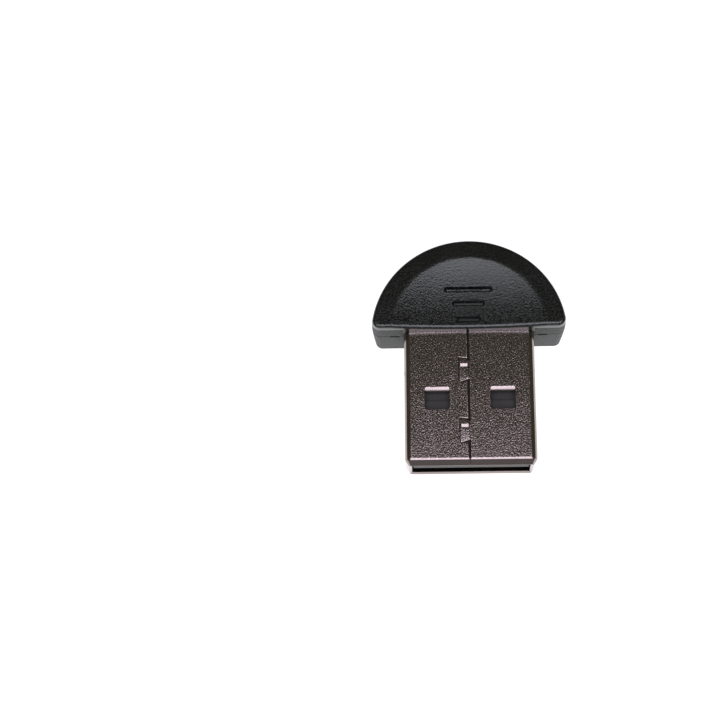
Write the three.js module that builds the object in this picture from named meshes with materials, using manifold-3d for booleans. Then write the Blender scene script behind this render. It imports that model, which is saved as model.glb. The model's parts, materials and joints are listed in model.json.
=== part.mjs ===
// Half-moon USB wireless adapter: a short black body with a USB type A plug.
// Millimetres, +Z up. The plug points along -Y, and the body's underside stands on z = 0.
// Inside the model, y is counted from the body's front face, where the plug comes out.
import * as THREE from "three";
import { mergeVertices } from "three/addons/utils/BufferGeometryUtils.js";
import Module from "manifold-3d";

const wasm = await Module();
wasm.setup();

// Body: two plastic covers that meet at the parting height.
const BODY_HEIGHT = 7.4;
const PARTING_HEIGHT = 4.8;
const PARTING_GAP = 0.06;
const BODY_RADIUS = 9.06;
const ARC_SETBACK = 0.56;
const CORNER_RADIUS = 0.8;
const UPPER_TAPER = 0.38;
const LOWER_TAPER = 0.3;
const WALL = 1.1;
const FLOOR = 1.0;
const CEILING = 1.2;
const LIP_THICKNESS = 0.5;
const LIP_HEIGHT = 0.6;
const FIT_GAP = 0.05;
const GLUE_LINE = 0.02;

// Thumb dish and the three grip grooves in it.
const DISH_RADIUS = 7.3;
const DISH_DEPTH = 0.6;
const GROOVE_WIDTH = 0.5;
const GROOVE_DEPTH = 0.25;
const GROOVES = [
  { y: 3.75, length: 4.5 },
  { y: 2.45, length: 3.05 },
  { y: 0.95, length: 2.25 },
];

// Pry notches beside the plug, at the top edge of the lower cover.
const NOTCH_X = 6.85;
const NOTCH_WIDTH = 0.9;
const NOTCH_HEIGHT = 0.35;
const NOTCH_DEPTH = 0.2;

// Plug: a folded sheet steel shell of the standard type A size.
const PLUG_WIDTH = 12.0;
const PLUG_HEIGHT = 4.5;
const PLUG_REACH = 12.5;
const PLUG_TAIL = 1.7;
const PLUG_CORNER = 0.65;
const SHEET = 0.3;
const CURL_LENGTH = 0.6;
const CURL_BEVEL = { bevelEnabled: true, bevelThickness: 0.8, bevelSegments: 1 };
const CURL_OUTER = 0.35;
const CURL_INNER = 0.25;
const PLUG_BASE = (BODY_HEIGHT - PLUG_HEIGHT) / 2;
const PLUG_TOP = PLUG_BASE + PLUG_HEIGHT;
const PLUG_MIDDLE = PLUG_BASE + PLUG_HEIGHT / 2;

// Windows in both broad walls of the shell, with the body-side edge bent inward.
const WINDOW_X = 3.0;
const WINDOW_WIDTH = 2.3;
const WINDOW_LENGTH = 2.15;
const WINDOW_BACK = -5.2;
const BEND_LENGTH = 0.4;
const BEND_DROP = 0.16;
const BEND_ROOT = 0.15;

// Seam where the sheet's two edges meet, locked by two dovetail tabs.
const SEAM_X = -0.1;
const SEAM_WIDTH = 0.08;
const DOVETAIL_DEPTH = 0.87;
const DOVETAIL_ROOT = 1.95;
const DOVETAIL_TIP = 2.35;
const DOVETAIL_CENTRES = [-3.6, -9.3];

// Holding features of the shell inside the body.
const LANCE_Y = -3.9;
const LANCE_LENGTH = 0.5;
const LANCE_BASE = 4.0;
const LANCE_TOP = 5.6;
const TAB_REACH = 0.7;
const TAB_BASE = 2.9;
const TAB_TOP = 4.5;
const LEG_LENGTH = 1.5;
const LEG_BASE = 2.2;
const LEG_TOP = 3.95;

// Insulator: a block in the shell's rear with the contact tongue in front of it.
const TONGUE_UNDERSIDE = 3.57;
const TONGUE_FRONT = -PLUG_REACH + 0.25;
const TONGUE_SLOPE_LENGTH = 0.6;
const TONGUE_SLOPE_DROP = 0.35;
const TONGUE_SIDE_GAP = 0.4;
const BLOCK_FRONT = -3.2;
const POCKET_DEPTH = 0.9;
const POCKET_MARGIN = 0.3;

// Contacts, numbered along X as in the standard.
const CONTACT_WIDTH = 1.0;
const CONTACT_THICKNESS = 0.22;
const CONTACT_BASE = 3.53;
const CONTACT_TAIL = 3.0;
const CONTACT_TAIL_WIDTH = 0.7;
const CONTACTS = [
  { name: "contact_vbus", x: -3.5, front: -PLUG_REACH + 1.6 },
  { name: "contact_data_minus", x: -1.0, front: -PLUG_REACH + 2.6 },
  { name: "contact_data_plus", x: 1.0, front: -PLUG_REACH + 2.6 },
  { name: "contact_ground", x: 3.5, front: -PLUG_REACH + 1.6 },
];

// Circuit board and the pins that hold it between the covers.
const BOARD_TOP = 3.5;
const BOARD_THICKNESS = 0.8;
const BOARD_RADIUS = 7.65;
const BOARD_FRONT = 1.9;
const BOARD_SHOULDER = 3.4;
const BOARD_NECK = 5.55;
const PIN_X = 5.1;
const PIN_Y = 4.05;
const PIN_RADIUS = 0.35;
const PIN_TOP = 5.2;
const HOLE_RADIUS = 0.42;
const POST_RADIUS = 0.75;
const BOSS_RADIUS = 0.85;

const ARC_STEPS = 40;
const CORNER_STEPS = 5;
const TAPER_STEPS = 5;

// Materials.
function material(color, roughness, metalness) {
  return new THREE.MeshStandardMaterial({ color, roughness, metalness });
}

const coverPlastic = () => material(0x17191a, 0.55, 0);
const plugSteel = () => material(0x9b958c, 0.32, 1);
const insulatorPlastic = () => material(0x24261f, 0.45, 0);
const contactGold = () => material(0xd9b057, 0.25, 1);
const boardLaminate = () => material(0x1d5b3a, 0.4, 0);
const chipPackage = () => material(0x1c1c1e, 0.6, 0);
const canMetal = () => material(0xb9b7b0, 0.3, 1);
const capacitorCeramic = () => material(0xa88a63, 0.5, 0);
const antennaCeramic = () => material(0xe4e1d6, 0.4, 0);
const solderMetal = () => material(0xc2c4c4, 0.3, 1);

// Solids: three.js geometry turned into a manifold body and back.
function solidOf(geometry) {
  const bare = geometry.clone();
  bare.deleteAttribute("normal");
  bare.deleteAttribute("uv");
  const merged = mergeVertices(bare, 1e-5);
  const index = merged.index.array;
  const kept = [];
  for (let i = 0; i < index.length; i += 3) {
    const [a, b, c] = [index[i], index[i + 1], index[i + 2]];
    if (a !== b && b !== c && c !== a) kept.push(a, b, c);
  }
  const vertProperties = new Float32Array(merged.attributes.position.array);
  const triVerts = new Uint32Array(kept);
  return new wasm.Manifold(new wasm.Mesh({ numProp: 3, vertProperties, triVerts }));
}

function meshOf(name, solid, itsMaterial) {
  const { vertProperties, triVerts } = solid.getMesh();
  const geometry = new THREE.BufferGeometry();
  geometry.setAttribute("position", new THREE.BufferAttribute(vertProperties, 3));
  geometry.setIndex(new THREE.BufferAttribute(triVerts, 1));
  geometry.computeVertexNormals();
  const mesh = new THREE.Mesh(geometry, itsMaterial);
  mesh.name = name;
  return mesh;
}

// Box from its lowest to its highest corner.
function box(x0, y0, z0, x1, y1, z1) {
  const geometry = new THREE.BoxGeometry(x1 - x0, y1 - y0, z1 - z0);
  geometry.translate((x0 + x1) / 2, (y0 + y1) / 2, (z0 + z1) / 2);
  return solidOf(geometry);
}

// The solid as given for the +X side, or its mirror image for the -X side.
function onSide(solid, side) {
  return side > 0 ? solid : solid.mirror([1, 0, 0]);
}

// Upright cylinder.
function post(x, y, radius, z0, z1, sides = 20) {
  const geometry = new THREE.CylinderGeometry(radius, radius, z1 - z0, sides);
  geometry.rotateX(Math.PI / 2);
  geometry.translate(x, y, (z0 + z1) / 2);
  return solidOf(geometry);
}

// Upright prism over a flat outline.
function prism(shape, z0, z1) {
  const geometry = new THREE.ExtrudeGeometry(shape, { depth: z1 - z0, bevelEnabled: false });
  geometry.translate(0, 0, z0);
  return solidOf(geometry);
}

// Prism along Y over an outline drawn in X and Z.
function prismAlongY(shape, y0, y1, bevel = {}) {
  const options = { depth: y1 - y0, bevelEnabled: false, ...bevel };
  const geometry = new THREE.ExtrudeGeometry(shape, options);
  geometry.rotateX(Math.PI / 2);
  geometry.translate(0, y1, 0);
  return solidOf(geometry);
}

// Prism along X over an outline drawn in Y and Z.
function prismAlongX(shape, x0, x1) {
  const geometry = new THREE.ExtrudeGeometry(shape, { depth: x1 - x0, bevelEnabled: false });
  geometry.rotateY(Math.PI / 2);
  geometry.rotateX(Math.PI / 2);
  geometry.translate(x0, 0, 0);
  return solidOf(geometry);
}

function arcPoints(x, y, radius, from, to, steps) {
  const points = [];
  for (let i = 0; i <= steps; i += 1) {
    const angle = from + ((to - from) * i) / steps;
    points.push(new THREE.Vector2(x + radius * Math.cos(angle), y + radius * Math.sin(angle)));
  }
  return points;
}

// Half-moon outline of the body, moved inward all round by the inset.
function halfMoon(inset) {
  const radius = BODY_RADIUS - inset;
  const corner = Math.max(CORNER_RADIUS - inset, 0.35);
  const cornerY = inset + corner;
  const rise = cornerY + ARC_SETBACK;
  const cornerX = Math.sqrt((radius - corner) ** 2 - rise ** 2);
  const turn = Math.atan2(rise, cornerX);
  const quarter = Math.PI / 2;
  return new THREE.Shape([
    ...arcPoints(cornerX, cornerY, corner, -quarter, turn, CORNER_STEPS),
    ...arcPoints(0, -ARC_SETBACK, radius, turn, Math.PI - turn, ARC_STEPS).slice(1),
    ...arcPoints(-cornerX, cornerY, corner, Math.PI - turn, 3 * quarter, CORNER_STEPS).slice(1),
  ]);
}

// Half of the body's outside: widest at the parting height, rounded in towards its far face.
function taperedBlock(taper, height) {
  const geometry = new THREE.ExtrudeGeometry(halfMoon(taper), {
    depth: PARTING_GAP,
    bevelThickness: height,
    bevelSize: taper,
    bevelSegments: TAPER_STEPS,
  });
  return solidOf(geometry);
}

function roundedRectangle(width, height, radius, centreY, steps = 3) {
  const [x, y, quarter] = [width / 2 - radius, height / 2 - radius, Math.PI / 2];
  return new THREE.Shape([
    ...arcPoints(x, centreY + y, radius, 0, quarter, steps),
    ...arcPoints(-x, centreY + y, radius, quarter, 2 * quarter, steps),
    ...arcPoints(-x, centreY - y, radius, 2 * quarter, 3 * quarter, steps),
    ...arcPoints(x, centreY - y, radius, 3 * quarter, 4 * quarter, steps),
  ]);
}

function capsule(length, width, y) {
  const [half, radius] = [length / 2 - width / 2, width / 2];
  return new THREE.Shape([
    ...arcPoints(half, y, radius, -Math.PI / 2, Math.PI / 2, 6),
    ...arcPoints(-half, y, radius, Math.PI / 2, (3 * Math.PI) / 2, 6),
  ]);
}

// Opening in the covers' front wall for the plug.
function plugOpening() {
  const width = PLUG_WIDTH + 2 * FIT_GAP;
  const height = PLUG_HEIGHT + 2 * FIT_GAP;
  return prismAlongY(roundedRectangle(width, height, PLUG_CORNER, PLUG_MIDDLE), -1, WALL + 1);
}

// Depth of the dish's floor under the top face, along the body's middle line.
function dishDepthAt(y) {
  return DISH_DEPTH * (1 - ((y + ARC_SETBACK) / DISH_RADIUS) ** 2);
}

// The air of the dish: a shallow bowl round the arc's centre that runs out through the front.
function dishAir() {
  const profile = [];
  for (const share of [0, 0.15, 0.3, 0.45, 0.6, 0.75, 0.88, 1, 1.05]) {
    profile.push(new THREE.Vector2(DISH_RADIUS * share, -DISH_DEPTH * (1 - share ** 2)));
  }
  profile.push(new THREE.Vector2(DISH_RADIUS * 1.05, 1));
  profile.push(new THREE.Vector2(0, 1));
  const bowl = new THREE.LatheGeometry(profile, 64);
  bowl.rotateX(Math.PI / 2);
  bowl.translate(0, -ARC_SETBACK, BODY_HEIGHT);
  return solidOf(bowl);
}

function upperCover() {
  const rise = BODY_HEIGHT - PARTING_HEIGHT;
  const bottom = PARTING_HEIGHT + PARTING_GAP;
  const lipTop = PARTING_HEIGHT + LIP_HEIGHT + FIT_GAP;
  const reach = 2 * BODY_RADIUS;
  let cover = taperedBlock(UPPER_TAPER, rise - PARTING_GAP).translate([0, 0, PARTING_HEIGHT]);
  cover = cover.intersect(box(-reach, -reach, bottom, reach, reach, BODY_HEIGHT + 1));
  cover = cover.subtract(prism(halfMoon(WALL), 0, BODY_HEIGHT - CEILING));
  cover = cover.subtract(prism(halfMoon(WALL - LIP_THICKNESS - FIT_GAP), 0, lipTop));
  for (const side of [-1, 1]) {
    const boss = post(side * PIN_X, PIN_Y, BOSS_RADIUS, BOARD_TOP + FIT_GAP, BODY_HEIGHT - 0.8);
    const socket = post(side * PIN_X, PIN_Y, HOLE_RADIUS, 0, PIN_TOP + 0.2);
    cover = cover.add(boss).subtract(socket);
  }
  cover = cover.subtract(plugOpening());
  cover = cover.subtract(dishAir());
  for (const { y, length } of GROOVES) {
    const floor = BODY_HEIGHT - dishDepthAt(y) - GROOVE_DEPTH;
    cover = cover.subtract(prism(capsule(length, GROOVE_WIDTH, y), floor, BODY_HEIGHT + 1));
  }
  return cover;
}

function lowerCover() {
  const reach = 2 * BODY_RADIUS;
  let cover = taperedBlock(LOWER_TAPER, PARTING_HEIGHT).translate([0, 0, PARTING_HEIGHT]);
  cover = cover.intersect(box(-reach, -reach, -1, reach, reach, PARTING_HEIGHT));
  const lip = prism(halfMoon(WALL - LIP_THICKNESS), PARTING_HEIGHT - 1, PARTING_HEIGHT + LIP_HEIGHT);
  cover = cover.add(lip);
  cover = cover.subtract(prism(halfMoon(WALL), FLOOR, BODY_HEIGHT));
  const seat = BOARD_TOP - BOARD_THICKNESS - FIT_GAP;
  for (const side of [-1, 1]) {
    cover = cover.add(post(side * PIN_X, PIN_Y, POST_RADIUS, FLOOR / 2, seat));
    cover = cover.add(post(side * PIN_X, PIN_Y, PIN_RADIUS, FLOOR / 2, PIN_TOP));
    const ribX = side * PLUG_WIDTH / 4;
    cover = cover.add(box(ribX - 0.4, WALL / 2, FLOOR / 2, ribX + 0.4, PLUG_TAIL, PLUG_BASE - FIT_GAP));
    const notchX = side * NOTCH_X;
    cover = cover.subtract(box(
      notchX - NOTCH_WIDTH / 2, -1, PARTING_HEIGHT - NOTCH_HEIGHT,
      notchX + NOTCH_WIDTH / 2, NOTCH_DEPTH, PARTING_HEIGHT + LIP_HEIGHT / 2,
    ));
  }
  return cover.subtract(plugOpening());
}

// Slit between the sheet's edges: straight, with a detour round each dovetail tab.
function seamSlit() {
  const [z0, z1] = [PLUG_TOP - 2 * SHEET, PLUG_TOP + 1];
  const corners = [[SEAM_X, PLUG_TAIL + 1]];
  for (const centre of DOVETAIL_CENTRES) {
    corners.push([SEAM_X, centre + DOVETAIL_ROOT / 2]);
    corners.push([SEAM_X - DOVETAIL_DEPTH, centre + DOVETAIL_TIP / 2]);
    corners.push([SEAM_X - DOVETAIL_DEPTH, centre - DOVETAIL_TIP / 2]);
    corners.push([SEAM_X, centre - DOVETAIL_ROOT / 2]);
  }
  corners.push([SEAM_X, -PLUG_REACH - 1]);
  let slit = null;
  for (let i = 0; i + 1 < corners.length; i += 1) {
    const [[ax, ay], [bx, by]] = [corners[i], corners[i + 1]];
    const length = Math.hypot(bx - ax, by - ay) + SEAM_WIDTH;
    const stretch = new THREE.BoxGeometry(SEAM_WIDTH, length, z1 - z0);
    stretch.rotateZ(Math.atan2(by - ay, bx - ax) - Math.PI / 2);
    stretch.translate((ax + bx) / 2, (ay + by) / 2, (z0 + z1) / 2);
    slit = slit ? slit.add(solidOf(stretch)) : solidOf(stretch);
  }
  return slit;
}

// Bent edge of one window: the sheet slopes inward.
function windowBend() {
  const root = WINDOW_BACK + BEND_ROOT;
  const end = WINDOW_BACK - BEND_LENGTH;
  const outline = new THREE.Shape([
    new THREE.Vector2(root, PLUG_TOP - BEND_ROOT),
    new THREE.Vector2(WINDOW_BACK, PLUG_TOP),
    new THREE.Vector2(end, PLUG_TOP - BEND_DROP),
    new THREE.Vector2(end, PLUG_TOP - BEND_DROP - SHEET),
    new THREE.Vector2(WINDOW_BACK, PLUG_TOP - SHEET),
    new THREE.Vector2(root, PLUG_TOP - SHEET),
  ]);
  return prismAlongX(outline, -WINDOW_WIDTH / 2 + BEND_ROOT, WINDOW_WIDTH / 2 - BEND_ROOT);
}

// Rounded tube along Y with its front end drawn in.
function curledTube(shrink, curl) {
  const corner = PLUG_CORNER - shrink - curl;
  const width = PLUG_WIDTH - 2 * (shrink + curl);
  const height = PLUG_HEIGHT - 2 * (shrink + curl);
  const outline = roundedRectangle(width, height, corner, PLUG_MIDDLE);
  const start = -PLUG_REACH + CURL_LENGTH;
  return prismAlongY(outline, start, PLUG_TAIL + 1, { ...CURL_BEVEL, bevelSize: curl });
}

// Window through both broad walls, on one side of the seam.
function windowHole() {
  const outline = roundedRectangle(WINDOW_WIDTH, WINDOW_LENGTH, 0.25, WINDOW_BACK - WINDOW_LENGTH / 2);
  return prism(outline, 0, BODY_HEIGHT).translate([WINDOW_X, 0, 0]);
}

// Hole lanced through a side wall, where the insulator's catch sits.
function lanceHole() {
  const wall = PLUG_WIDTH / 2;
  const [back, front] = [LANCE_Y + LANCE_LENGTH / 2, LANCE_Y - LANCE_LENGTH / 2];
  return box(wall - SHEET - 1, front, LANCE_BASE, wall + 1, back, LANCE_TOP);
}

// Solder leg behind a side wall, and the tab that catches behind the covers' front wall.
function sideHolders() {
  const wall = PLUG_WIDTH / 2;
  const tabFront = WALL + FIT_GAP;
  const leg = box(wall - SHEET, PLUG_TAIL - 1, LEG_BASE, wall, PLUG_TAIL + LEG_LENGTH, LEG_TOP);
  const tab = box(wall - SHEET / 2, tabFront, TAB_BASE, wall + TAB_REACH, tabFront + SHEET, TAB_TOP);
  return leg.add(tab);
}

function usbShell() {
  const reach = 2 * PLUG_WIDTH;
  let shell = curledTube(0, CURL_OUTER).subtract(curledTube(SHEET, CURL_INNER));
  shell = shell.intersect(box(-reach, -PLUG_REACH, -1, reach, PLUG_TAIL, BODY_HEIGHT + 1));
  const topBend = windowBend().translate([WINDOW_X, 0, 0]);
  const bottomBend = topBend.mirror([0, 0, 1]).translate([0, 0, 2 * PLUG_MIDDLE]);
  for (const side of [-1, 1]) {
    shell = shell.subtract(onSide(windowHole(), side)).subtract(onSide(lanceHole(), side));
    shell = shell.add(onSide(topBend, side)).add(onSide(bottomBend, side));
    shell = shell.add(onSide(sideHolders(), side));
  }
  return shell.subtract(seamSlit());
}

// Insulator: rear block, contact tongue, pockets under the windows and a catch in each lance hole.
function plugInsulator() {
  const half = PLUG_WIDTH / 2 - SHEET - FIT_GAP;
  const roof = PLUG_TOP - SHEET - FIT_GAP;
  const rear = PLUG_TAIL - 0.1;
  const block = prismAlongY(
    roundedRectangle(2 * half, PLUG_HEIGHT - 2 * (SHEET + FIT_GAP), PLUG_CORNER - SHEET, PLUG_MIDDLE),
    BLOCK_FRONT, rear,
  );
  const tongue = new THREE.Shape([
    new THREE.Vector2(BLOCK_FRONT + 0.5, TONGUE_UNDERSIDE),
    new THREE.Vector2(BLOCK_FRONT + 0.5, roof),
    new THREE.Vector2(TONGUE_FRONT + TONGUE_SLOPE_LENGTH, roof),
    new THREE.Vector2(TONGUE_FRONT, roof - TONGUE_SLOPE_DROP),
    new THREE.Vector2(TONGUE_FRONT, TONGUE_UNDERSIDE),
  ]);
  let body = block.add(prismAlongX(tongue, -half + TONGUE_SIDE_GAP, half - TONGUE_SIDE_GAP));
  const catchY = LANCE_LENGTH / 2 - FIT_GAP;
  const catchX = PLUG_WIDTH / 2 - FIT_GAP;
  body = body.add(box(
    -catchX, LANCE_Y - catchY, LANCE_BASE + FIT_GAP, catchX, LANCE_Y + catchY, LANCE_TOP - FIT_GAP,
  ));
  for (const side of [-1, 1]) {
    const reach = WINDOW_WIDTH / 2 + POCKET_MARGIN;
    const x = side * WINDOW_X;
    const front = WINDOW_BACK - WINDOW_LENGTH - POCKET_MARGIN;
    const middle = WINDOW_BACK - WINDOW_LENGTH / 2;
    const back = WINDOW_BACK + POCKET_MARGIN;
    body = body.subtract(box(x - reach, front, roof - POCKET_DEPTH / 2, x + reach, middle, roof + 1));
    body = body.subtract(box(x - reach, middle - 0.1, roof - POCKET_DEPTH, x + reach, back, roof + 1));
  }
  for (const { x, front } of CONTACTS) {
    const half = CONTACT_WIDTH / 2 + FIT_GAP;
    const [low, high] = [CONTACT_BASE - FIT_GAP, CONTACT_BASE + CONTACT_THICKNESS + FIT_GAP];
    body = body.subtract(box(x - half, front - FIT_GAP, low, x + half, rear + 1, high));
  }
  return body;
}

// Flat strip with a narrower tail that lies over its pad on the board.
function contactStrip({ x, front }) {
  const [half, tail, step] = [CONTACT_WIDTH / 2, CONTACT_TAIL_WIDTH / 2, PLUG_TAIL - 0.4];
  const outline = new THREE.Shape([
    new THREE.Vector2(x - half + 0.1, front),
    new THREE.Vector2(x + half - 0.1, front),
    new THREE.Vector2(x + half, front + 0.3),
    new THREE.Vector2(x + half, step),
    new THREE.Vector2(x + tail, step + 0.2),
    new THREE.Vector2(x + tail, CONTACT_TAIL),
    new THREE.Vector2(x - tail, CONTACT_TAIL),
    new THREE.Vector2(x - tail, step + 0.2),
    new THREE.Vector2(x - half, step),
    new THREE.Vector2(x - half, front + 0.3),
  ]);
  return prism(outline, CONTACT_BASE, CONTACT_BASE + CONTACT_THICKNESS);
}

// Hollow-faced fillet of solder: it climbs by the height at the origin and runs out along +X.
function fillet(height, run) {
  return new THREE.Shape([
    new THREE.Vector2(0, 0),
    new THREE.Vector2(run, 0),
    new THREE.Vector2(0.5 * run, 0.18 * height),
    new THREE.Vector2(0.2 * run, 0.48 * height),
    new THREE.Vector2(0, height),
  ]);
}

function contactSolder({ x }) {
  const half = CONTACT_TAIL_WIDTH / 2 + 0.08;
  const bead = prismAlongX(fillet(CONTACT_THICKNESS, 0.4), x - half, x + half);
  return bead.translate([0, CONTACT_TAIL + GLUE_LINE, BOARD_TOP + GLUE_LINE]);
}

function legSolder(side) {
  const bead = prismAlongY(fillet(0.4, 0.65), BOARD_FRONT + 0.15, PLUG_TAIL + LEG_LENGTH - 0.1);
  const legFace = PLUG_WIDTH / 2 - SHEET - GLUE_LINE;
  const placed = bead.mirror([1, 0, 0]).translate([legFace, 0, BOARD_TOP + GLUE_LINE]);
  return onSide(placed, side);
}

// Board: a half-moon behind a narrower neck that fits between the shell's legs.
function circuitBoard() {
  const bottom = BOARD_TOP - BOARD_THICKNESS;
  const shoulderX = Math.sqrt(BOARD_RADIUS ** 2 - (BOARD_SHOULDER + ARC_SETBACK) ** 2);
  const turn = Math.atan2(BOARD_SHOULDER + ARC_SETBACK, shoulderX);
  const outline = new THREE.Shape([
    new THREE.Vector2(-BOARD_NECK, BOARD_SHOULDER),
    new THREE.Vector2(-BOARD_NECK, BOARD_FRONT),
    new THREE.Vector2(BOARD_NECK, BOARD_FRONT),
    new THREE.Vector2(BOARD_NECK, BOARD_SHOULDER),
    ...arcPoints(0, -ARC_SETBACK, BOARD_RADIUS, turn, Math.PI - turn, ARC_STEPS / 2),
  ]);
  const holes = [-1, 1].map((side) => post(side * PIN_X, PIN_Y, HOLE_RADIUS, 0, BODY_HEIGHT));
  return prism(outline, bottom, BOARD_TOP).subtract(holes[0]).subtract(holes[1]);
}

// A block on the board, seated on its top side or hanging from its underside.
function seated({ x, y, width, length, height, under }) {
  const [halfX, halfY] = [width / 2, length / 2];
  const base = under ? BOARD_TOP - BOARD_THICKNESS - GLUE_LINE - height : BOARD_TOP + GLUE_LINE;
  return box(x - halfX, y - halfY, base, x + halfX, y + halfY, base + height);
}

// Chip capacitor, resistor or bead: a body between two slightly larger end caps.
function endCapped(place) {
  const cap = 0.25 * place.width;
  const body = seated({ ...place, width: place.width - cap, length: place.length - 0.06 });
  const shift = (place.width - cap) / 2;
  const left = seated({ ...place, x: place.x - shift, width: cap });
  const right = seated({ ...place, x: place.x + shift, width: cap });
  return body.add(left).add(right);
}

function chipWithDot(place) {
  const chip = seated(place);
  const dotX = place.x - place.width / 2 + 0.6;
  const dotY = place.y - place.length / 2 + 0.6;
  const face = BOARD_TOP - BOARD_THICKNESS - GLUE_LINE - place.height;
  return chip.subtract(post(dotX, dotY, 0.2, face - 1, face + 0.06, 12));
}

function crystalCan(place) {
  const lid = { ...place, width: place.width - 0.3, length: place.length - 0.3 };
  return seated({ ...place, height: 0.6 * place.height }).add(seated(lid));
}

// Small regulator: a moulded body with two leads on one side and three on the other.
function regulatorWithLeads(place) {
  let chip = seated({ ...place, width: place.width - 0.1 });
  for (const [side, offsets] of [[-1, [-0.95, 0, 0.95]], [1, [-0.95, 0.95]]]) {
    for (const offset of offsets) {
      const lead = { ...place, width: 0.45, length: 0.4, height: 0.18, y: place.y + offset };
      chip = chip.add(seated({ ...lead, x: place.x + side * (place.width / 2 + 0.1) }));
    }
  }
  return chip;
}

// Parts on the board: name, shape, material, then middle x, y and width, length, height.
const TOP_PARTS = [
  ["chip_antenna", endCapped, antennaCeramic, 0, 5.6, 3.2, 1.2, 1.1],
  ["crystal", crystalCan, canMetal, -2.9, 4.5, 2.0, 1.6, 0.6],
  ["bulk_capacitor", endCapped, capacitorCeramic, 3.0, 4.0, 1.6, 0.8, 0.8],
  ["ferrite_bead", endCapped, chipPackage, 3.0, 5.2, 1.6, 0.8, 0.8],
  ["matching_capacitor", endCapped, capacitorCeramic, 0.85, 4.55, 1.0, 0.5, 0.5],
  ["matching_coil", endCapped, antennaCeramic, -0.85, 4.55, 1.0, 0.5, 0.5],
  ["resistor_data_minus", endCapped, chipPackage, -0.85, 3.8, 1.0, 0.5, 0.35],
  ["resistor_data_plus", endCapped, chipPackage, 0.85, 3.8, 1.0, 0.5, 0.35],
];
const UNDER_PARTS = [
  ["radio_chip", chipWithDot, chipPackage, 0, 4.4, 4.0, 4.0, 0.9],
  ["memory_chip", chipWithDot, chipPackage, 3.2, 4.4, 1.9, 2.0, 0.6],
  ["voltage_regulator", regulatorWithLeads, chipPackage, -3.2, 3.95, 1.4, 2.8, 1.0],
  ["regulator_capacitor", endCapped, capacitorCeramic, 3.2, 2.75, 1.0, 0.5, 0.5],
];

function boardPart([name, shape, itsMaterial, x, y, width, length, height], under) {
  return meshOf(name, shape({ x, y, width, length, height, under }), itsMaterial());
}

const part = new THREE.Group();
part.name = "usb_wifi_adapter";
part.add(meshOf("upper_cover", upperCover(), coverPlastic()));
part.add(meshOf("lower_cover", lowerCover(), coverPlastic()));
part.add(meshOf("usb_shell", usbShell(), plugSteel()));
part.add(meshOf("plug_insulator", plugInsulator(), insulatorPlastic()));
for (const contact of CONTACTS) {
  part.add(meshOf(contact.name, contactStrip(contact), contactGold()));
  part.add(meshOf(contact.name.replace("contact", "solder"), contactSolder(contact), solderMetal()));
}
part.add(meshOf("solder_leg_left", legSolder(-1), solderMetal()));
part.add(meshOf("solder_leg_right", legSolder(1), solderMetal()));
part.add(meshOf("circuit_board", circuitBoard(), boardLaminate()));
for (const entry of TOP_PARTS) part.add(boardPart(entry, false));
for (const entry of UNDER_PARTS) part.add(boardPart(entry, true));

// Put the middle of the whole length at the origin.
part.position.y = (PLUG_REACH - (BODY_RADIUS - ARC_SETBACK)) / 2;

export default part;
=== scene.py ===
import json
import math

import bmesh
import bpy
from mathutils import Matrix, Vector


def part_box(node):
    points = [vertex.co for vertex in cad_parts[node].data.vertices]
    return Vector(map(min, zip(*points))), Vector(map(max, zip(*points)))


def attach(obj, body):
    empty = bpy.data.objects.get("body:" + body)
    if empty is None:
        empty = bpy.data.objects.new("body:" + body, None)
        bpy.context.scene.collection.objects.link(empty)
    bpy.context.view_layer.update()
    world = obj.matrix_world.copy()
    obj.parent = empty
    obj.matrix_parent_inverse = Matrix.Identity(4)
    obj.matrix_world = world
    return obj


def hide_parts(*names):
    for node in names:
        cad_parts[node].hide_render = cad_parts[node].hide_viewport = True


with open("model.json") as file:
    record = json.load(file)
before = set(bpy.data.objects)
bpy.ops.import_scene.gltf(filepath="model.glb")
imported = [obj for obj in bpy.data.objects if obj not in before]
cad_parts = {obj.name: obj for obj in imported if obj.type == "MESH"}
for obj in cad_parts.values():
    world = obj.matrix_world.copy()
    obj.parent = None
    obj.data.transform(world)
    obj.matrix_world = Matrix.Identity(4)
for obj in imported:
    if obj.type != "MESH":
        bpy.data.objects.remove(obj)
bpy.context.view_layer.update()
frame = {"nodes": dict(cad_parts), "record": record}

# The pieces are built in millimetres, with y counted from the body's front face as in the CAD,
# and settle() then puts them into the row frame in metres.
MM = 0.001
PLUG_REACH = 12.5
FRONT_FACE_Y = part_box("usb_shell")[0].y / MM + PLUG_REACH

# Body, as in the CAD.
BODY_HEIGHT = 7.4
PARTING_HEIGHT = 4.8
PARTING_GAP = 0.06
BODY_RADIUS = 9.06
ARC_SETBACK = 0.56
CORNER_RADIUS = 0.8
UPPER_TAPER = 0.4
LOWER_TAPER = 0.3
WALL = 1.1
FLOOR = 1.0
CEILING = 1.2
LIP_THICKNESS = 0.5
LIP_HEIGHT = 0.6
FIT_GAP = 0.05
UPPER_EDGE = 0.3
LOWER_EDGE = 0.12
PARTING_BREAK = 0.035
FRONT_STEPS = 96

# Thumb dish and grip grooves.
DISH_RADIUS = 7.3
DISH_DEPTH = 0.6
DISH_EDGE_BLEND = 0.03
DISH_MIDDLE_Y = 3.6
DISH_RINGS = 60
TOP_RINGS = 20
# Middle y and length of each groove.
GROOVES = [(3.75, 4.5), (2.45, 3.05), (0.95, 2.25)]
GROOVE_WIDTH = 0.56
GROOVE_FLOOR = 0.14
GROOVE_DEPTH = 0.32
GROOVE_SHOULDER = 0.02

# Pry notches beside the plug.
NOTCH_X = 6.85
NOTCH_WIDTH = 0.9
NOTCH_HEIGHT = 0.35
NOTCH_DEPTH = 0.1

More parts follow.
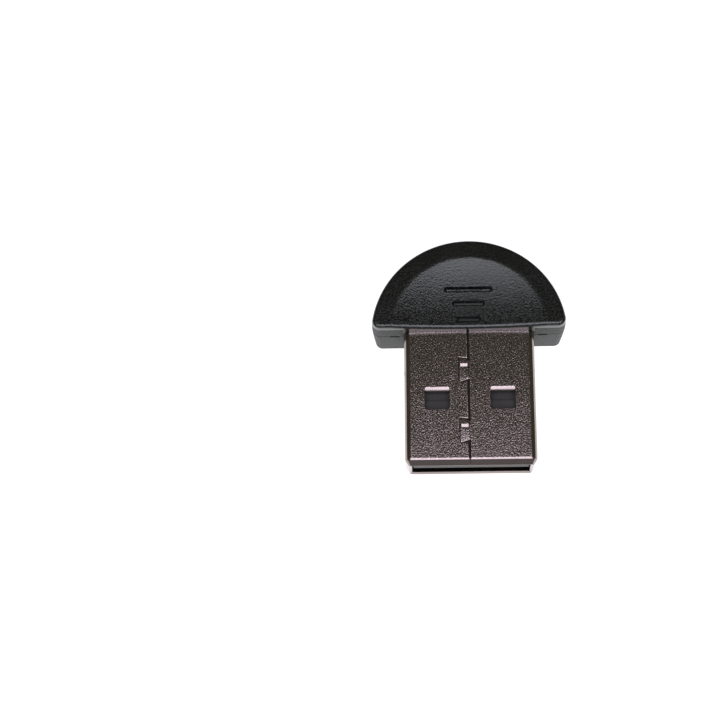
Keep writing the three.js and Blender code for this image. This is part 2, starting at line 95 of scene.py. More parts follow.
# Plug shell.
PLUG_WIDTH = 12.0
PLUG_HEIGHT = 4.5
PLUG_TAIL = 1.7
PLUG_CORNER = 0.65
SHEET = 0.3
CURL_LENGTH = 0.7
CURL_BEND = 0.45
CURL_ANGLE = math.radians(35)
PLUG_BASE = (BODY_HEIGHT - PLUG_HEIGHT) / 2
PLUG_TOP = PLUG_BASE + PLUG_HEIGHT
PLUG_MIDDLE = PLUG_BASE + PLUG_HEIGHT / 2

# Windows and their bent edges.
WINDOW_X = 3.0
WINDOW_WIDTH = 2.3
WINDOW_LENGTH = 2.15
WINDOW_BACK = -5.2
BEND_LENGTH = 0.38
BEND_DROP = 0.18
BEND_ROOT = 0.15

# Seam with its two dovetail tabs.
SEAM_X = -0.1
DOVETAIL_DEPTH = 0.87
DOVETAIL_ROOT = 1.95
DOVETAIL_TIP = 2.35
DOVETAIL_CENTRES = (-3.6, -9.3)
SEAM_HALF_GAP = 0.03
SEAM_ROLL_DEPTH = 0.1
SEAM_ROLL_REACH = 0.15
STAKE_HALF_WIDTH = 0.36
STAKE_DEPTH = 0.08
STAKE_LENGTH = 0.3
SCRIBE_HALF_WIDTH = 0.03

# Holding features.
LANCE_Y = -3.9
LANCE_LENGTH = 0.5
LANCE_BASE = 4.0
LANCE_TOP = 5.6
TAB_REACH = 0.7
TAB_BASE = 2.9
TAB_TOP = 4.5
TAB_FRONT = WALL + FIT_GAP
LEG_LENGTH = 1.5
LEG_BASE = 2.2
LEG_TOP = 3.95
BOARD_TOP = 3.5
BOARD_THICKNESS = 0.8
PIN_X = 5.1
PIN_Y = 4.05
PIN_RADIUS = 0.35
PIN_TOP = 5.2
HOLE_RADIUS = 0.42
POST_RADIUS = 0.75
BOSS_RADIUS = 0.85
BOSS_TOP = BODY_HEIGHT - 0.8
HOLE_SPARE = 0.2
RIB_WIDTH = 0.8

# Camera, fitted to the photograph's viewing angle, in millimetres.
CAMERA_PLACE = Vector((-2.928, -42.670, 156.369))
CAMERA_AIM = Vector((-10.139, 0.044, 3.82))
CAMERA_ROLL = math.radians(-10.092)
CAMERA_LENS = 85
CAMERA_SENSOR = 36

# Floor and light, in metres and watts.
FLOOR_HALF = 3
FLOOR_COLOUR = (0.86, 0.86, 0.86, 1)
FLOOR_GLOW = 0.8
KEY_TILT = math.radians(17)
KEY_DISTANCE = 0.6
KEY_SIZE = (0.60, 0.50)
KEY_POWER = 2.5
KEY_COLOUR = (1.0, 0.90, 1.14)
ROOM_DARK = (0.095, 0.09, 0.07, 1)
ROOM_LIGHT = (0.26, 0.24, 0.26, 1)
ROOM_LIGHT_FROM = 0.6
BACKDROP_COLOUR = (0.9, 0.9, 0.9, 1)

QUARTER = math.pi / 2
scene = bpy.context.scene


# Mesh code.
def object_from(name, points, faces):
    mesh = bpy.data.meshes.new(name)
    mesh.from_pydata(points, [], faces)
    shape = bmesh.new()
    shape.from_mesh(mesh)
    bmesh.ops.recalc_face_normals(shape, faces=shape.faces)
    shape.to_mesh(mesh)
    shape.free()
    made = bpy.data.objects.new(name, mesh)
    scene.collection.objects.link(made)
    return made


def loft(name, rings, ends="caps"):
    """Solid through equal rings of points. ends: caps, loop (last ring joins the first) or a point."""
    count = len(rings[0])
    points = [point for ring in rings for point in ring]
    faces = []
    last = len(rings) if ends == "loop" else len(rings) - 1
    for step in range(last):
        low, high = step * count, (step + 1) % len(rings) * count
        for i in range(count):
            j = (i + 1) % count
            faces.append((low + i, low + j, high + j, high + i))
    if ends != "loop":
        faces.append(tuple(range(count - 1, -1, -1)))
    if ends == "caps":
        faces.append(tuple(range(last * count, last * count + count)))
    if ends == "point":
        middle = sum((Vector(p) for p in rings[-1]), Vector()) / count
        points.append(tuple(middle))
        for i in range(count):
            faces.append((last * count + i, last * count + (i + 1) % count, len(points) - 1))
    return object_from(name, points, faces)


def combine(target, tool, operation="DIFFERENCE"):
    """Cuts, adds or intersects the tool, which is used up."""
    step = target.modifiers.new("step", "BOOLEAN")
    step.object = tool
    step.operation = operation
    step.solver = "MANIFOLD"
    bpy.context.view_layer.update()
    result = bpy.data.meshes.new_from_object(target.evaluated_get(bpy.context.evaluated_depsgraph_get()))
    target.modifiers.clear()
    spent = target.data
    target.data = result
    bpy.data.meshes.remove(spent)
    bpy.data.objects.remove(tool)
    return target


def cut(target, tool):
    return combine(target, tool)


def add(target, tool):
    return combine(target, tool, "UNION")


def arc(x, y, radius, start, end, steps):
    angles = [start + (end - start) * i / steps for i in range(steps + 1)]
    return [(x + radius * math.cos(a), y + radius * math.sin(a)) for a in angles]


def half_moon(inset, front_steps=1, arc_steps=200, corner_steps=12):
    """Body outline moved inward by the inset, anticlockwise from the right front corner."""
    radius = BODY_RADIUS - inset
    corner = max(CORNER_RADIUS - inset, 0.35)
    rise = inset + corner + ARC_SETBACK
    corner_x = math.sqrt((radius - corner) ** 2 - rise ** 2)
    turn = math.atan2(rise, corner_x)
    outline = arc(corner_x, inset + corner, corner, -QUARTER, turn, corner_steps)
    outline += arc(0, -ARC_SETBACK, radius, turn, math.pi - turn, arc_steps)[1:]
    outline += arc(-corner_x, inset + corner, corner, math.pi - turn, 3 * QUARTER, corner_steps)[1:]
    for i in range(1, front_steps):
        outline.append((-corner_x + 2 * corner_x * i / front_steps, inset))
    return outline


def level(outline, z):
    return [(x, y, z) for x, y in outline]


def prism(outline, z0, z1):
    return loft("tool", [level(outline, z0), level(outline, z1)])


def block(x0, y0, z0, x1, y1, z1):
    return prism([(x0, y0), (x1, y0), (x1, y1), (x0, y1)], z0, z1)


def post(x, y, radius, z0, z1, steps=48):
    return prism(arc(x, y, radius, 0, 2 * math.pi, steps)[:-1], z0, z1)


def rounded_rectangle(width, height, radius, middle, steps=10):
    """Outline round (0, middle), anticlockwise from the right."""
    x, y = width / 2 - radius, height / 2 - radius
    outline = []
    for turn, (side, up) in enumerate([(1, 1), (-1, 1), (-1, -1), (1, -1)]):
        outline += arc(side * x, middle + up * y, radius, turn * QUARTER, (turn + 1) * QUARTER, steps)
    return outline


def capsule(length, width, y, steps=12):
    half, radius = (length - width) / 2, width / 2
    right = arc(half, y, radius, -QUARTER, QUARTER, steps)
    return right + arc(-half, y, radius, QUARTER, 3 * QUARTER, steps)


def plug_opening():
    """Hole for the plug through the body's front wall."""
    width, height = PLUG_WIDTH + 2 * FIT_GAP, PLUG_HEIGHT + 2 * FIT_GAP
    outline = rounded_rectangle(width, height, PLUG_CORNER, PLUG_MIDDLE)
    return loft("tool", [[(x, y, z) for x, z in outline] for y in (-1, WALL + 1)])


def settle(made):
    """From millimetres in the model to metres in the row frame."""
    made.data.transform(Matrix.Scale(MM, 4) @ Matrix.Translation((0, FRONT_FACE_Y, 0)))
    made.data.update()
    return made


def smooth_max(a, b, blend):
    overlap = max(blend - abs(a - b), 0) / blend
    return max(a, b) + overlap * overlap * blend / 4


def dish_depth(x, y):
    """Depth of the thumb dish, a bowl round the arc's centre that runs out through the front."""
    distance = math.hypot(x, y + ARC_SETBACK) / DISH_RADIUS
    return smooth_max(DISH_DEPTH * (1 - distance ** 2), 0, DISH_EDGE_BLEND)


def wall_steps(height, taper, edge_radius):
    """(distance from the parting, inset) up the wall: broken edge, slight draft, then a round edge."""
    middle = height - edge_radius
    levels = [PARTING_BREAK * (1 - math.cos(QUARTER * i / 4)) for i in range(5)]
    levels += [PARTING_BREAK + (middle - PARTING_BREAK) * i / 12 for i in range(1, 13)]
    levels += [middle + edge_radius * math.sin(QUARTER * i / 10) for i in range(1, 11)]
    steps = []
    for distance in levels:
        draft = (taper - edge_radius) * (distance / height) ** 1.4
        past = max(distance - middle, 0)
        edge = edge_radius - math.sqrt(max(edge_radius ** 2 - past ** 2, 0))
        near = max(PARTING_BREAK - distance, 0)
        lip = PARTING_BREAK - math.sqrt(max(PARTING_BREAK ** 2 - near ** 2, 0))
        steps.append((distance, draft + edge + lip))
    return steps


def build_upper_cover():
    bottom = PARTING_HEIGHT + PARTING_GAP
    height = BODY_HEIGHT - bottom
    rings = []
    for distance, inset in wall_steps(height, UPPER_TAPER, UPPER_EDGE):
        outline = half_moon(inset, FRONT_STEPS)
        rings.append([(x, y, bottom + distance * (1 - dish_depth(x, y) / height)) for x, y in outline])
    dish_edge = BODY_RADIUS - DISH_RADIUS
    top_outlines = []
    for i in range(1, TOP_RINGS + 1):
        share = math.sin(QUARTER * i / TOP_RINGS)
        top_outlines.append(half_moon(UPPER_TAPER + (dish_edge - UPPER_TAPER) * share, FRONT_STEPS))
    inner = top_outlines[-1]
    for i in range(1, DISH_RINGS):
        keep = 1 - i / DISH_RINGS
        top_outlines.append([(x * keep, DISH_MIDDLE_Y + (y - DISH_MIDDLE_Y) * keep) for x, y in inner])
    for outline in top_outlines:
        rings.append([(x, y, BODY_HEIGHT - dish_depth(x, y)) for x, y in outline])
    cover = loft("upper_cover_skin", rings, "point")
    cut(cover, prism(half_moon(WALL), 0, BODY_HEIGHT - CEILING))
    cut(cover, prism(half_moon(WALL - LIP_THICKNESS - FIT_GAP), 0, PARTING_HEIGHT + LIP_HEIGHT + FIT_GAP))
    for side in (-1, 1):
        add(cover, post(side * PIN_X, PIN_Y, BOSS_RADIUS, BOARD_TOP + FIT_GAP, BOSS_TOP))
        cut(cover, post(side * PIN_X, PIN_Y, HOLE_RADIUS, 0, PIN_TOP + HOLE_SPARE))
    cut(cover, plug_opening())
    for y, length in GROOVES:
        cut(cover, groove_tool(y, length))
    return cover


def groove_tool(y, length):
    """Groove with sloping sides and a narrow floor that follows the dish."""
    steps = [
        (GROOVE_FLOOR, -GROOVE_DEPTH),
        (GROOVE_WIDTH - GROOVE_SHOULDER, -GROOVE_SHOULDER),
        (GROOVE_WIDTH + 3 * GROOVE_SHOULDER, GROOVE_SHOULDER),
        (GROOVE_WIDTH + 3 * GROOVE_SHOULDER, 1),
    ]
    rings = []
    for width, offset in steps:
        outline = capsule(length - GROOVE_WIDTH + width, width, y)
        rings.append([(px, py, BODY_HEIGHT - dish_depth(px, py) + offset) for px, py in outline])
    return loft("tool", rings)


def build_lower_cover():
    rings = []
    for distance, inset in reversed(wall_steps(PARTING_HEIGHT, LOWER_TAPER, LOWER_EDGE)):
        rings.append(level(half_moon(inset), PARTING_HEIGHT - distance))
    cover = loft("lower_cover_skin", rings)
    add(cover, prism(half_moon(WALL - LIP_THICKNESS), PARTING_HEIGHT - 1, PARTING_HEIGHT + LIP_HEIGHT))
    cut(cover, prism(half_moon(WALL), FLOOR, BODY_HEIGHT))
    seat = BOARD_TOP - BOARD_THICKNESS - FIT_GAP
    for side in (-1, 1):
        add(cover, post(side * PIN_X, PIN_Y, POST_RADIUS, FLOOR / 2, seat))
        add(cover, post(side * PIN_X, PIN_Y, PIN_RADIUS, FLOOR / 2, PIN_TOP))
        rib, notch = side * PLUG_WIDTH / 4, side * NOTCH_X
        add(cover, block(
            rib - RIB_WIDTH / 2, WALL / 2, FLOOR / 2,
            rib + RIB_WIDTH / 2, PLUG_TAIL, PLUG_BASE - FIT_GAP,
        ))
        cut(cover, block(
            notch - NOTCH_WIDTH / 2, -1, PARTING_HEIGHT - NOTCH_HEIGHT,
            notch + NOTCH_WIDTH / 2, NOTCH_DEPTH, PARTING_HEIGHT + LIP_HEIGHT / 2,
        ))
    return cut(cover, plug_opening())


def tube_ring(y, shrink):
    """The shell's section at y, drawn in on all sides."""
    corner = max(PLUG_CORNER - shrink, 0.08)
    outline = rounded_rectangle(PLUG_WIDTH - 2 * shrink, PLUG_HEIGHT - 2 * shrink, corner, PLUG_MIDDLE, 14)
    return [(x, y, z) for x, z in outline]


def sweep(path, profile, shares):
    """Solid along a flat path of (x, y), with a closed profile of (sideways, z) and mitred corners.
    The profile is narrowed by a share at each corner."""
    rings = []
    for i, (x, y) in enumerate(path):
        before = Vector(path[i]) - Vector(path[i - 1]) if i else Vector(path[1]) - Vector(path[0])
        after = Vector(path[i + 1]) - Vector(path[i]) if i + 1 < len(path) else before
        before.normalize()
        after.normalize()
        across_before, across_after = Vector((before.y, -before.x)), Vector((after.y, -after.x))
        mitre = across_before + across_after
        mitre /= mitre.dot(across_before)
        share = shares[i]
        rings.append([(x + mitre.x * w * share, y + mitre.y * w * share, z) for w, z in profile])
    return loft("tool", rings)


def seam_tool():
    """Slit between the sheet's edges, whose upper corners are rolled over."""
    path = [(SEAM_X, PLUG_TAIL + 1)]
    shares = [0.8]
    for centre in DOVETAIL_CENTRES:
        tip = SEAM_X - DOVETAIL_DEPTH
        shares += [1, 0.3, 0.3, 1]
        path.append((SEAM_X, centre + DOVETAIL_ROOT / 2))
        path.append((tip, centre + DOVETAIL_TIP / 2))
        path.append((tip, centre - DOVETAIL_TIP / 2))
        path.append((SEAM_X, centre - DOVETAIL_ROOT / 2))
    path.append((SEAM_X, -PLUG_REACH - 1))
    shares.append(0.8)
    roll_start = PLUG_TOP - SEAM_ROLL_DEPTH
    side = [(SEAM_HALF_GAP, PLUG_TOP - 2 * SHEET), (SEAM_HALF_GAP, roll_start)]
    for i in range(1, 10):
        angle = QUARTER * i / 9
        width = SEAM_HALF_GAP + SEAM_ROLL_REACH * (1 - math.cos(angle))
        side.append((width, roll_start + SEAM_ROLL_DEPTH * math.sin(angle)))
    side.append((SEAM_HALF_GAP + SEAM_ROLL_REACH, PLUG_TOP + 0.5))
    profile = side + [(-w, z) for w, z in reversed(side)]
    return sweep(path, profile, shares)


def window_tool(x):
    outline = rounded_rectangle(WINDOW_WIDTH, WINDOW_LENGTH, 0.25, WINDOW_BACK - WINDOW_LENGTH / 2, 8)
    return prism([(px + x, py) for px, py in outline], 0, BODY_HEIGHT)


def window_bend(x, upside_down):
    """The window's body-side edge, rolled inward."""
    outer, inner = [], []
    for share in (0, 0.06, 0.12, 0.18, 0.24, 0.5, 0.86, 0.93, 1):
        along = WINDOW_BACK - BEND_LENGTH * share
        bend = share ** 2 / 0.48 if share < 0.24 else share - 0.12
        height = PLUG_TOP - BEND_DROP * (bend + 4 * max(share - 0.86, 0) ** 2)
        outer.append((along, height))
        inner.append((along, height - SHEET))
    root = WINDOW_BACK + BEND_ROOT
    outline = [(root, PLUG_TOP - BEND_ROOT)] + outer + inner[::-1] + [(root, PLUG_TOP - SHEET)]
    half = WINDOW_WIDTH / 2 - 0.04
    rings = []
    for across in (-half, half):
        rings.append([
            (x + across, y, 2 * PLUG_MIDDLE - z if upside_down else z) for y, z in outline
        ])
    return loft("tool", rings)


def scribe_tool(centre):
    """Fine line across a dovetail's root, where the tab leaves the sheet."""
    half = DOVETAIL_ROOT / 2 - 0.12
    rings = []
    for y in (centre - half, centre + half):
        rings.append([
            (SEAM_X - SCRIBE_HALF_WIDTH, y, PLUG_TOP + 0.01),
            (SEAM_X, y, PLUG_TOP - SCRIBE_HALF_WIDTH),
            (SEAM_X + SCRIBE_HALF_WIDTH, y, PLUG_TOP + 0.01),
            (SEAM_X, y, PLUG_TOP + 0.2),
        ])
    return loft("tool", rings)


def stake_tool(centre):
    """Punch mark across a dovetail tab, just in front of its rear edge."""
    rear = centre + DOVETAIL_ROOT / 2 - 0.36
    front = rear - STAKE_LENGTH
    middle = SEAM_X - DOVETAIL_DEPTH / 2 + 0.02
    outside, inside = STAKE_HALF_WIDTH + 0.06, STAKE_HALF_WIDTH - 0.04
    rings = []
    for across, share in ((-outside, 0.1), (-inside, 1), (inside, 1), (outside, 0.1)):
        rings.append([
            (middle + across, rear, PLUG_TOP + 0.01),
            (middle + across, front, PLUG_TOP - STAKE_DEPTH * share),
            (middle + across, front - 0.07, PLUG_TOP + 0.01),
            (middle + across, rear - STAKE_LENGTH / 2, PLUG_TOP + 0.3),
        ])
    return loft("tool", rings)


def curl(offset, steps=10):
    """(y, shrink) along one face of the shell's drawn-in end: a bend, then a slope to the cut edge.
    The offset is the face's depth under the outer face."""
    slope_end = Vector((-PLUG_REACH, CURL_BEND * (1 - math.cos(CURL_ANGLE))))
    slope_end.y += (CURL_LENGTH - CURL_BEND * math.sin(CURL_ANGLE)) * math.tan(CURL_ANGLE)
    inward = Vector((math.sin(CURL_ANGLE), math.cos(CURL_ANGLE)))
    bend_start = CURL_LENGTH - PLUG_REACH
    radius = CURL_BEND - offset
    line = []
    for i in range(steps + 1):
        turn = CURL_ANGLE * i / steps
        line.append((bend_start - radius * math.sin(turn), CURL_BEND - radius * math.cos(turn)))
    line.append(tuple(slope_end + inward * offset))
    return line


def round_corner(before, corner, after, reach, steps=4):
    """Short curve that replaces the corner of a flat line."""
    before, corner, after = Vector(before), Vector(corner), Vector(after)
    start = corner + (before - corner).normalized() * reach
    end = corner + (after - corner).normalized() * reach
    shares = [i / steps for i in range(steps + 1)]
    curve = [start * (1 - t) ** 2 + corner * 2 * t * (1 - t) + end * t ** 2 for t in shares]
    return [tuple(point) for point in curve]


def build_shell():
    outer = curl(0)
    inner = curl(SHEET)
    stations = [(PLUG_TAIL, 0), (-4, 0), (-8, 0)] + outer[:-1]
    stations += round_corner(outer[-2], outer[-1], inner[-1], 0.05)
    stations += round_corner(outer[-1], inner[-1], inner[-2], 0.04)
    stations += inner[-2::-1]
    stations += [(-8, SHEET), (-4, SHEET), (PLUG_TAIL, SHEET)]
    shell = loft("usb_shell_skin", [tube_ring(y, shrink) for y, shrink in stations], "loop")
    wall = PLUG_WIDTH / 2
    for side in (-1, 1):
        cut(shell, window_tool(side * WINDOW_X))
        near, far = sorted((side * (wall - SHEET - 1), side * (wall + 1)))
        cut(shell, block(
            near, LANCE_Y - LANCE_LENGTH / 2, LANCE_BASE,
            far, LANCE_Y + LANCE_LENGTH / 2, LANCE_TOP,
        ))
        for upside_down in (False, True):
            add(shell, window_bend(side * WINDOW_X, upside_down))
        near, far = sorted((side * (wall - SHEET), side * wall))
        add(shell, block(near, PLUG_TAIL - 1, LEG_BASE, far, PLUG_TAIL + LEG_LENGTH, LEG_TOP))
        near, far = sorted((side * (wall - SHEET / 2), side * (wall + TAB_REACH)))
        add(shell, block(near, TAB_FRONT, TAB_BASE, far, TAB_FRONT + SHEET, TAB_TOP))
    cut(shell, seam_tool())
    for centre in DOVETAIL_CENTRES:
        cut(shell, scribe_tool(centre))
    for centre in DOVETAIL_CENTRES:
        cut(shell, stake_tool(centre))
    return shell


# Materials.
class Masks:
    """Masks over a piece, as values from 0 to 1 that fade between two distances in millimetres."""

    def __init__(self, made):
        self.nodes, self.links = made.node_tree.nodes, made.node_tree.links
        place = self.nodes.new("ShaderNodeTexCoord")
        parts = self.nodes.new("ShaderNodeSeparateXYZ")
        self.links.new(place.outputs["Object"], parts.inputs[0])
        self.x, self.y, self.z = parts.outputs

    def math(self, operation, *values):
        node = self.nodes.new("ShaderNodeMath")
        node.operation = operation
        for i, value in enumerate(values):
            if isinstance(value, (int, float)):
                node.inputs[i].default_value = value
            else:
                self.links.new(value, node.inputs[i])
        return node.outputs[0]

    def fade(self, value, none, full):
        """0 at the first distance, 1 at the second."""
        node = self.nodes.new("ShaderNodeMapRange")
        node.interpolation_type = "SMOOTHSTEP"
        node.inputs["From Min"].default_value = none * MM
        node.inputs["From Max"].default_value = full * MM
        self.links.new(value, node.inputs["Value"])
        return node.outputs["Result"]


def surface(name, dark, light, roughness, grain, bump, metallic=0.0, speckle=0.5, patch=None,
            spread=0.15, area=None):
    """Principled material: colour between dark and light, roughness within its range, fine bump.
    grain, bump and patch are sizes in millimetres, speckle is the fine grain's share in the colour,
    spread is the noise's range on each side of its middle, and area is a mask that the grain keeps to."""
    made = bpy.data.materials.new(name)
    made.use_nodes = True
    nodes, links = made.node_tree.nodes, made.node_tree.links
    shader = nodes["Principled BSDF"]
    shader.inputs["Metallic"].default_value = metallic
    place = nodes.new("ShaderNodeTexCoord")

    def texture(kind, size, detail):
        node = nodes.new(kind)
        node.inputs["Scale"].default_value = 1 / (size * MM)
        node.inputs["Detail"].default_value = detail
        links.new(place.outputs["Object"], node.inputs["Vector"])
        return node

    def weigh(source, factor, extra=None):
        node = nodes.new("ShaderNodeMath")
        node.operation = "MULTIPLY_ADD"
        links.new(source, node.inputs[0])
        node.inputs[1].default_value = factor
        node.inputs[2].default_value = 0
        if extra:
            links.new(extra, node.inputs[2])
        return node.outputs[0]

    fine = texture("ShaderNodeTexNoise", grain, 3).outputs["Fac"]
    broad = texture("ShaderNodeTexNoise", patch or grain * 12, 2).outputs["Fac"]
    pits = texture("ShaderNodeTexVoronoi", grain * 1.3, 0).outputs["Distance"]
    strength = None
    if area:
        masks = Masks(made)
        strength = area(masks)
        fine = masks.math("MULTIPLY_ADD", masks.math("SUBTRACT", fine, 0.5), strength, 0.5)
    ramp = nodes.new("ShaderNodeValToRGB")
    ramp.color_ramp.elements[0].position = 0.51 - spread
    ramp.color_ramp.elements[0].color = (*dark, 1)
    ramp.color_ramp.elements[1].position = 0.51 + spread
    ramp.color_ramp.elements[1].color = (*light, 1)
    links.new(weigh(fine, speckle, weigh(broad, 1 - speckle)), ramp.inputs["Fac"])
    links.new(ramp.outputs["Color"], shader.inputs["Base Color"])
    gloss = nodes.new("ShaderNodeMapRange")
    gloss.inputs["From Min"].default_value = 0.5 - 1.3 * spread
    gloss.inputs["From Max"].default_value = 0.5 + 1.3 * spread
    gloss.inputs["To Min"].default_value = roughness[0]
    gloss.inputs["To Max"].default_value = roughness[1]
    links.new(fine, gloss.inputs["Value"])
    links.new(gloss.outputs["Result"], shader.inputs["Roughness"])
    relief = nodes.new("ShaderNodeBump")
    relief.inputs["Strength"].default_value = 1.0
    relief.inputs["Distance"].default_value = bump * MM
    if strength:
        links.new(strength, relief.inputs["Strength"])
    links.new(weigh(pits, 0.6, fine), relief.inputs["Height"])
    links.new(relief.outputs["Normal"], shader.inputs["Normal"])
    return made


def roughen_walls(made, extra):
    """Gives the walls below the dish a duller finish than the top, except above the plug."""
    masks = Masks(made)
    dish_floor = BODY_HEIGHT - DISH_DEPTH
    wall = masks.fade(masks.z, dish_floor - 0.05, dish_floor - 0.3)
    beside = masks.fade(masks.math("ABSOLUTE", masks.x), PLUG_WIDTH / 2 - 0.1, PLUG_WIDTH / 2 + 0.1)
    behind = masks.fade(masks.y, FRONT_FACE_Y + 0.6, FRONT_FACE_Y + 0.8)
    share = masks.math("MULTIPLY", wall, masks.math("MAXIMUM", beside, behind))
    rough = made.node_tree.nodes["Principled BSDF"].inputs["Roughness"]
    masks.links.new(masks.math("MULTIPLY_ADD", share, extra, rough.links[0].from_socket), rough)


def shell_flats(masks):
    """Mask over the shell's two broad flat faces, so that its bends stay smooth."""
    away = masks.math("ABSOLUTE", masks.math("SUBTRACT", masks.z, PLUG_MIDDLE * MM))
    return masks.fade(away, PLUG_HEIGHT / 2 - 0.02, PLUG_HEIGHT / 2 - 0.004)


plastic = surface("black_textured_plastic", (0.0004, 0.0006, 0.0005), (0.017, 0.0195, 0.018),
                  (0.08, 0.26), grain=0.13, bump=0.010, speckle=0.8, patch=2.5, spread=0.09)
plastic_inputs = plastic.node_tree.nodes["Principled BSDF"].inputs
plastic_inputs["Specular IOR Level"].default_value = 0.75
plastic_inputs["Specular Tint"].default_value = (0.88, 1.0, 0.86, 1)
roughen_walls(plastic, 0.44)
steel = surface("nickel_plated_steel", (0.17, 0.152, 0.128), (0.46, 0.418, 0.375),
                (0.08, 0.2), grain=0.11, bump=0.01, metallic=1.0, speckle=0.9, patch=3,
                spread=0.12, area=shell_flats)
insulator = surface("grey_green_plastic", (0.022, 0.025, 0.016), (0.038, 0.042, 0.03),
                    (0.5, 0.6), grain=0.2, bump=0.006)
gold = surface("gold_plating", (0.72, 0.46, 0.14), (0.86, 0.6, 0.22),
               (0.2, 0.3), grain=0.2, bump=0.002, metallic=1.0)
laminate = surface("green_laminate", (0.008, 0.075, 0.035), (0.012, 0.1, 0.05),
                   (0.3, 0.42), grain=0.35, bump=0.004)
package = surface("moulded_package", (0.012, 0.012, 0.013), (0.022, 0.022, 0.024),
                  (0.5, 0.65), grain=0.12, bump=0.006)
can = surface("can_metal", (0.5, 0.49, 0.46), (0.62, 0.61, 0.58),
              (0.22, 0.34), grain=0.2, bump=0.002, metallic=1.0)
ceramic = surface("tan_ceramic", (0.3, 0.2, 0.11), (0.4, 0.28, 0.16),
                  (0.4, 0.52), grain=0.1, bump=0.004)
white_ceramic = surface("white_ceramic", (0.62, 0.6, 0.53), (0.74, 0.72, 0.66),
                        (0.35, 0.45), grain=0.12, bump=0.003)
solder = surface("solder", (0.5, 0.51, 0.52), (0.64, 0.65, 0.66),
                 (0.2, 0.35), grain=0.25, bump=0.006, metallic=1.0)


def dress(made, material):
    made.data.materials.clear()
    made.data.materials.append(material)


def soften(made, width, segments=2):
    """Rounds the edges and keeps flat faces flat in the shading."""
    bevel = made.modifiers.new("edges", "BEVEL")
    bevel.width = width * MM
    bevel.segments = segments
    bevel.limit_method = "ANGLE"
    bevel.angle_limit = math.radians(40)
    weighted = made.modifiers.new("normals", "WEIGHTED_NORMAL")
    weighted.keep_sharp = True


def shade(made, angle):
    """Smooth shading, with edges sharper than the angle kept crisp and flat faces kept flat."""
    made.data.shade_smooth()
    shape = bmesh.new()
    shape.from_mesh(made.data)
    limit = math.radians(angle)
    for edge in shape.edges:
        edge.smooth = len(edge.link_faces) == 2 and edge.calc_face_angle(0) < limit
    shape.to_mesh(made.data)
    shape.free()
    weighted = made.modifiers.new("normals", "WEIGHTED_NORMAL")
    weighted.weight = 100
    weighted.keep_sharp = True


# Build function, CAD node it stands for, slot, material and crease angle.
PIECES = [
    (build_upper_cover, "upper_cover", "cover_plastic", plastic, 24),
    (build_lower_cover, "lower_cover", "cover_plastic", plastic, 24),
    (build_shell, "usb_shell", "plug_steel", steel, 12),
]
for build, node, slot, material, crease in PIECES:
    piece = settle(build())
    shade(piece, crease)
    dress(piece, material)
    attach(piece, "root")
    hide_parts(node)

# The other CAD nodes stay, with a material for each slot and broken edges.
SLOT_MATERIALS = {
    "insulator_plastic": insulator,
    "contact_gold": gold,
    "board_laminate": laminate,
    "chip_package": package,
    "can_metal": can,
    "capacitor_ceramic": ceramic,
    "antenna_ceramic": white_ceramic,
    "solder": solder,
}
for entry in frame["record"]["subparts"]:
    if entry["material_slot"] in SLOT_MATERIALS:
        kept = frame["nodes"][entry["node"]]
        dress(kept, SLOT_MATERIALS[entry["material_slot"]])
        soften(kept, 0.03)


# Floor, light and camera.
corners = [(-FLOOR_HALF, -FLOOR_HALF, 0), (FLOOR_HALF, -FLOOR_HALF, 0),
           (FLOOR_HALF, FLOOR_HALF, 0), (-FLOOR_HALF, FLOOR_HALF, 0)]
ground = object_from("floor", corners, [(0, 1, 2, 3)])
pale = bpy.data.materials.new("pale_floor")
pale.use_nodes = True
pale_inputs = pale.node_tree.nodes["Principled BSDF"].inputs
pale_inputs["Base Color"].default_value = FLOOR_COLOUR
pale_inputs["Roughness"].default_value = 0.9
pale_inputs["Emission Color"].default_value = (1, 1, 1, 1)
pale_inputs["Emission Strength"].default_value = FLOOR_GLOW
dress(ground, pale)

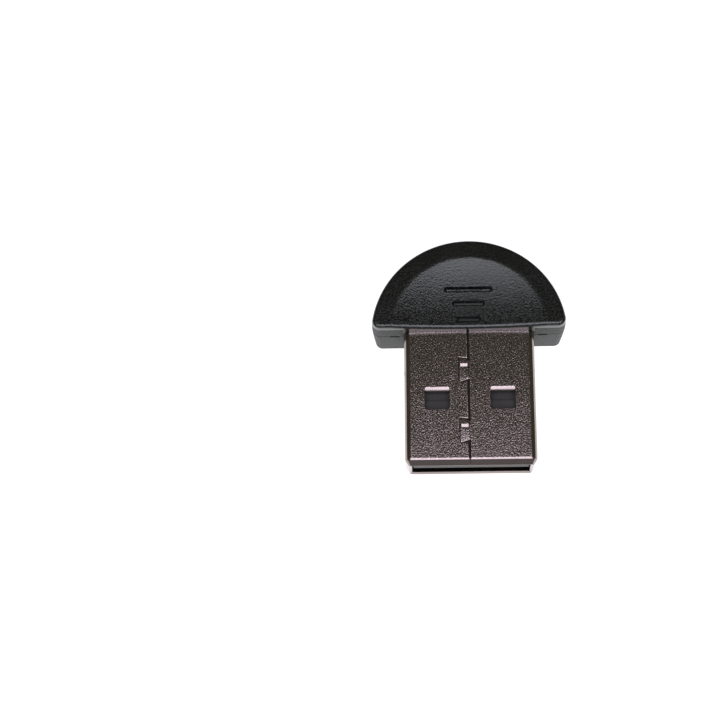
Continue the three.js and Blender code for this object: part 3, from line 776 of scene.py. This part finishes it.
# Dim room, lighter towards the front, below the key light, behind a pale backdrop.
world = bpy.data.worlds.new("studio")
world.use_nodes = True
room, room_links = world.node_tree.nodes, world.node_tree.links
direction = room.new("ShaderNodeTexCoord")
towards_front = room.new("ShaderNodeVectorMath")
towards_front.operation = "DOT_PRODUCT"
towards_front.inputs[1].default_value = (0, -1, 0)
room_links.new(direction.outputs["Generated"], towards_front.inputs[0])
glow = room.new("ShaderNodeValToRGB")
glow.color_ramp.elements[0].position = 0.0
glow.color_ramp.elements[0].color = ROOM_DARK
glow.color_ramp.elements[1].position = ROOM_LIGHT_FROM
glow.color_ramp.elements[1].color = ROOM_LIGHT
room_links.new(towards_front.outputs["Value"], glow.inputs["Fac"])
room_links.new(glow.outputs["Color"], room["Background"].inputs["Color"])
backdrop = room.new("ShaderNodeBackground")
backdrop.inputs["Color"].default_value = BACKDROP_COLOUR
ray = room.new("ShaderNodeLightPath")
shown = room.new("ShaderNodeMixShader")
room_links.new(ray.outputs["Is Camera Ray"], shown.inputs["Fac"])
room_links.new(room["Background"].outputs["Background"], shown.inputs[1])
room_links.new(backdrop.outputs["Background"], shown.inputs[2])
room_links.new(shown.outputs["Shader"], room["World Output"].inputs["Surface"])
scene.world = world

# One large softbox, tilted from straight up towards the front.
softbox = bpy.data.lights.new("key", "AREA")
softbox.shape = "RECTANGLE"
softbox.size, softbox.size_y = KEY_SIZE
softbox.energy = KEY_POWER
softbox.color = KEY_COLOUR
key = bpy.data.objects.new("key", softbox)
scene.collection.objects.link(key)
away = Vector((0, -math.sin(KEY_TILT), math.cos(KEY_TILT)))
key.location = away * KEY_DISTANCE
key.rotation_mode = "QUATERNION"
key.rotation_quaternion = (-away).to_track_quat("-Z", "Y")

camera = bpy.data.objects.new("camera", bpy.data.cameras.new("camera"))
camera.data.sensor_width = CAMERA_SENSOR
camera.data.lens = CAMERA_LENS
camera.data.clip_start = 0.01
camera.data.clip_end = 20
scene.collection.objects.link(camera)
camera.location = CAMERA_PLACE * MM
camera.rotation_mode = "QUATERNION"
unrolled = (CAMERA_AIM - CAMERA_PLACE).to_track_quat("-Z", "Y")
camera.rotation_quaternion = unrolled @ Matrix.Rotation(CAMERA_ROLL, 3, "Z").to_quaternion()
scene.camera = camera
scene.view_settings.view_transform = "Standard"
